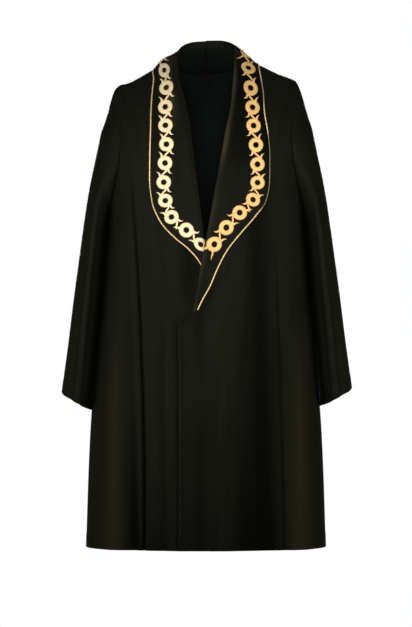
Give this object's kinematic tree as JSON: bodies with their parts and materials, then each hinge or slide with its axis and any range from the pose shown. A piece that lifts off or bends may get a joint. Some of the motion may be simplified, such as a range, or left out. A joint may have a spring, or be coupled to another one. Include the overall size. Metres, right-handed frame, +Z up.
{
  "type": "judge robe",
  "caption": "Open-fronted black robe with a wide shawl collar edged in gold piping and plain bell sleeves, in the hollow form of a worn garment.",
  "frame": {"origin": "middle of the neck base, at the height of the shoulder-neck points, where the wearer's neck and shoulders hold the robe", "axes": "+Z up along the robe's length, +X to the wearer's left, the front faces -Y"},
  "size_m": [0.68, 0.3278, 1.1927],
  "materials": {
    "black_cloth": "matt black suiting",
    "black_collar_face": "black satin-faced cloth, low sheen",
    "gold_piping": "gold cord"
  },
  "bodies": {
    "root": {"back": "black_cloth", "front_left": "black_cloth", "front_right": "black_cloth", "sleeve_left": "black_cloth", "sleeve_right": "black_cloth", "collar_left": "black_collar_face", "collar_right": "black_collar_face", "piping_left": "gold_piping", "piping_right": "gold_piping"}
  },
  "joints": []
}
